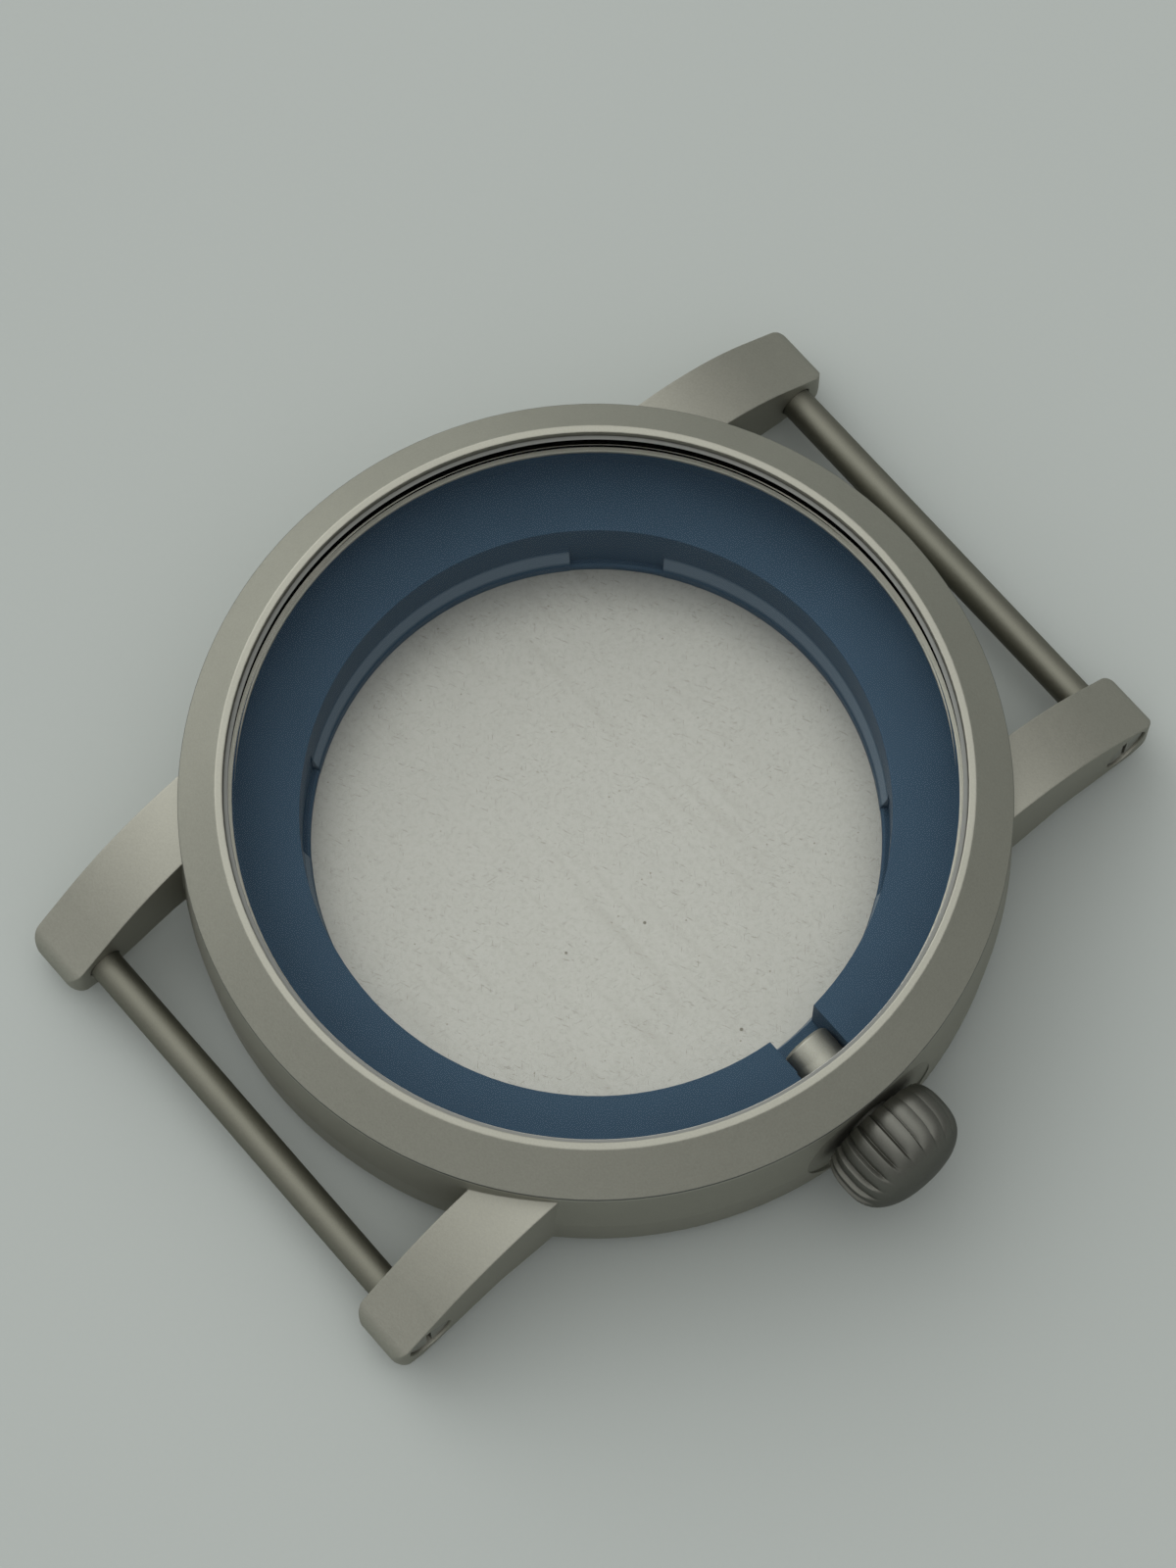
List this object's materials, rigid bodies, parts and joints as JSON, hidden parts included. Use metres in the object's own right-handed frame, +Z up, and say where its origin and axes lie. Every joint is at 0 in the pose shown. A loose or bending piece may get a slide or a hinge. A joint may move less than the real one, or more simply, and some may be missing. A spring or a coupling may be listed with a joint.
{
  "type": "empty watch case",
  "caption": "Empty round wristwatch case with a flat crystal, fluted crown, plastic movement ring, screw-in back and screwed strap bars between its lugs.",
  "frame": {"origin": "on the axis of the case at the outer face of the caseback", "axes": "+X towards the crown, +Y towards the lugs at twelve o'clock, +Z up through the crystal"},
  "size_m": [0.0474, 0.0524, 0.0114],
  "materials": {
    "blasted_steel": "fine bead-blasted",
    "crown_steel": "satin",
    "back_steel": "pale matte",
    "bar_steel": "satin",
    "screw_steel": "satin",
    "crystal": "clear polished",
    "clear_plastic": "clear",
    "blue_plastic": "smooth moulded",
    "black_rubber": "smooth"
  },
  "bodies": {
    "case": {"mid_case": "blasted_steel", "bezel": "blasted_steel", "crystal": "crystal", "crystal_gasket": "clear_plastic", "movement_ring": "blue_plastic", "crown_tube": "crown_steel"},
    "crown_seal": {"crown_gasket": "black_rubber"},
    "crown_unit": {"crown": "crown_steel", "crown_washer": "crown_steel"},
    "back_seal": {"caseback_gasket": "black_rubber"},
    "back": {"caseback": "back_steel"},
    "bar_12": {"strap_bar_12": "bar_steel"},
    "screw_12_right": {"bar_screw_12_right": "screw_steel"},
    "screw_12_left": {"bar_screw_12_left": "screw_steel"},
    "bar_6": {"strap_bar_6": "bar_steel"},
    "screw_6_right": {"bar_screw_6_right": "screw_steel"},
    "screw_6_left": {"bar_screw_6_left": "screw_steel"}
  },
  "joints": [
    {"name": "crown_pull", "type": "slide", "parent": "case", "child": "crown_seal", "axis": [1, 0, 0], "range_m": [0, 0.006]},
    {"name": "crown_turn", "type": "hinge", "parent": "crown_seal", "child": "crown_unit", "pos_m": [0.0236, 0, 0.0049], "axis": [1, 0, 0], "continuous": true},
    {"name": "back_lift", "type": "slide", "parent": "case", "child": "back_seal", "axis": [0, 0, -1], "range_m": [0, 0.015]},
    {"name": "back_turn", "type": "hinge", "parent": "back_seal", "child": "back", "pos_m": [0, 0, 0.001], "axis": [0, 0, -1], "continuous": true},
    {"name": "bar_12_slide", "type": "slide", "parent": "case", "child": "bar_12", "axis": [1, 0, 0], "range_m": [0, 0.027]},
    {"name": "screw_12_right_turn", "type": "hinge", "parent": "bar_12", "child": "screw_12_right", "pos_m": [0.0142, 0.024, 0.0026], "axis": [1, 0, 0], "continuous": true},
    {"name": "screw_12_left_out", "type": "slide", "parent": "case", "child": "screw_12_left", "axis": [-1, 0, 0], "range_m": [0, 0.005]},
    {"name": "bar_6_slide", "type": "slide", "parent": "case", "child": "bar_6", "axis": [1, 0, 0], "range_m": [0, 0.027]},
    {"name": "screw_6_right_turn", "type": "hinge", "parent": "bar_6", "child": "screw_6_right", "pos_m": [0.0142, -0.024, 0.0026], "axis": [1, 0, 0], "continuous": true},
    {"name": "screw_6_left_out", "type": "slide", "parent": "case", "child": "screw_6_left", "axis": [-1, 0, 0], "range_m": [0, 0.005]}
  ]
}
